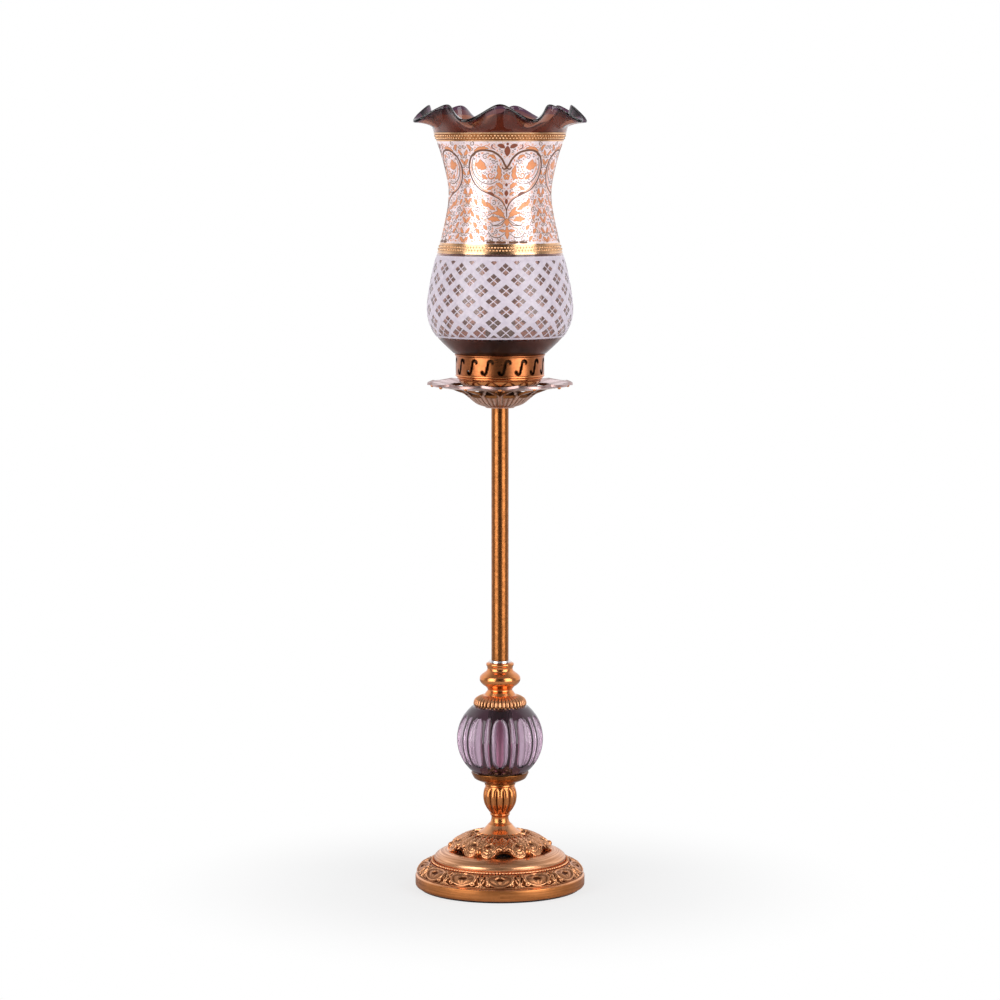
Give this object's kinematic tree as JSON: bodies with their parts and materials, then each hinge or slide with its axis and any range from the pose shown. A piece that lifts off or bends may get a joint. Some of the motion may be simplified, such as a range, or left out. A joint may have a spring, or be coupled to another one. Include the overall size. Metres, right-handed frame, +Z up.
{
  "type": "candle lamp",
  "caption": "Tall candle lamp: a bellied crystal shade with a wavy rim on a pierced gallery, slim brass stem, fluted crystal ball and domed base.",
  "frame": {"origin": "centre of the felt pad's underside, on the lamp's axis", "axes": "+Z up along the lamp's axis, -Y to the front, where a crest of the wavy rim is"},
  "size_m": [0.1488, 0.1502, 0.6808],
  "materials": {
    "cast_brass": "polished casting, dark in the hollows",
    "brushed_brass": "brushed round",
    "turned_brass": "turned and lacquered",
    "aged_brass": "mottled antique",
    "pale_brass": "polished casting",
    "silvered": "silvered",
    "steel": "zinc plated",
    "ballast_iron": "painted casting",
    "amethyst_crystal": "polished, cut and gilt",
    "cork": "pressed cork",
    "felt": "matt felt"
  },
  "bodies": {
    "stand": {"felt_pad": "felt", "ballast": "ballast_iron", "base_plinth": "cast_brass", "bead_wire": "cast_brass", "base_step": "brushed_brass", "base_dome": "cast_brass", "tie_rod": "steel", "rod_nut": "steel", "lock_washer": "steel", "clamp_washer": "steel", "fluted_knop": "cast_brass", "ball_cup": "turned_brass", "lower_gasket": "cork", "crystal_ball": "amethyst_crystal", "ball_sleeve": "turned_brass", "upper_gasket": "cork", "ribbed_collar": "cast_brass", "baluster": "turned_brass", "stem_washer": "silvered", "stem_tube": "aged_brass", "stem_bush_lower": "turned_brass", "stem_bush_upper": "turned_brass", "openwork_saucer": "pale_brass", "gallery_spacer": "turned_brass", "gallery": "turned_brass", "locating_ring": "turned_brass", "candle_cup": "turned_brass"},
    "shade": {"crystal_shade": "amethyst_crystal"}
  },
  "joints": [
    {"name": "shade_lift", "type": "slide", "parent": "stand", "child": "shade", "axis": [0, 0, 1], "range_m": [0, 0.15]}
  ]
}
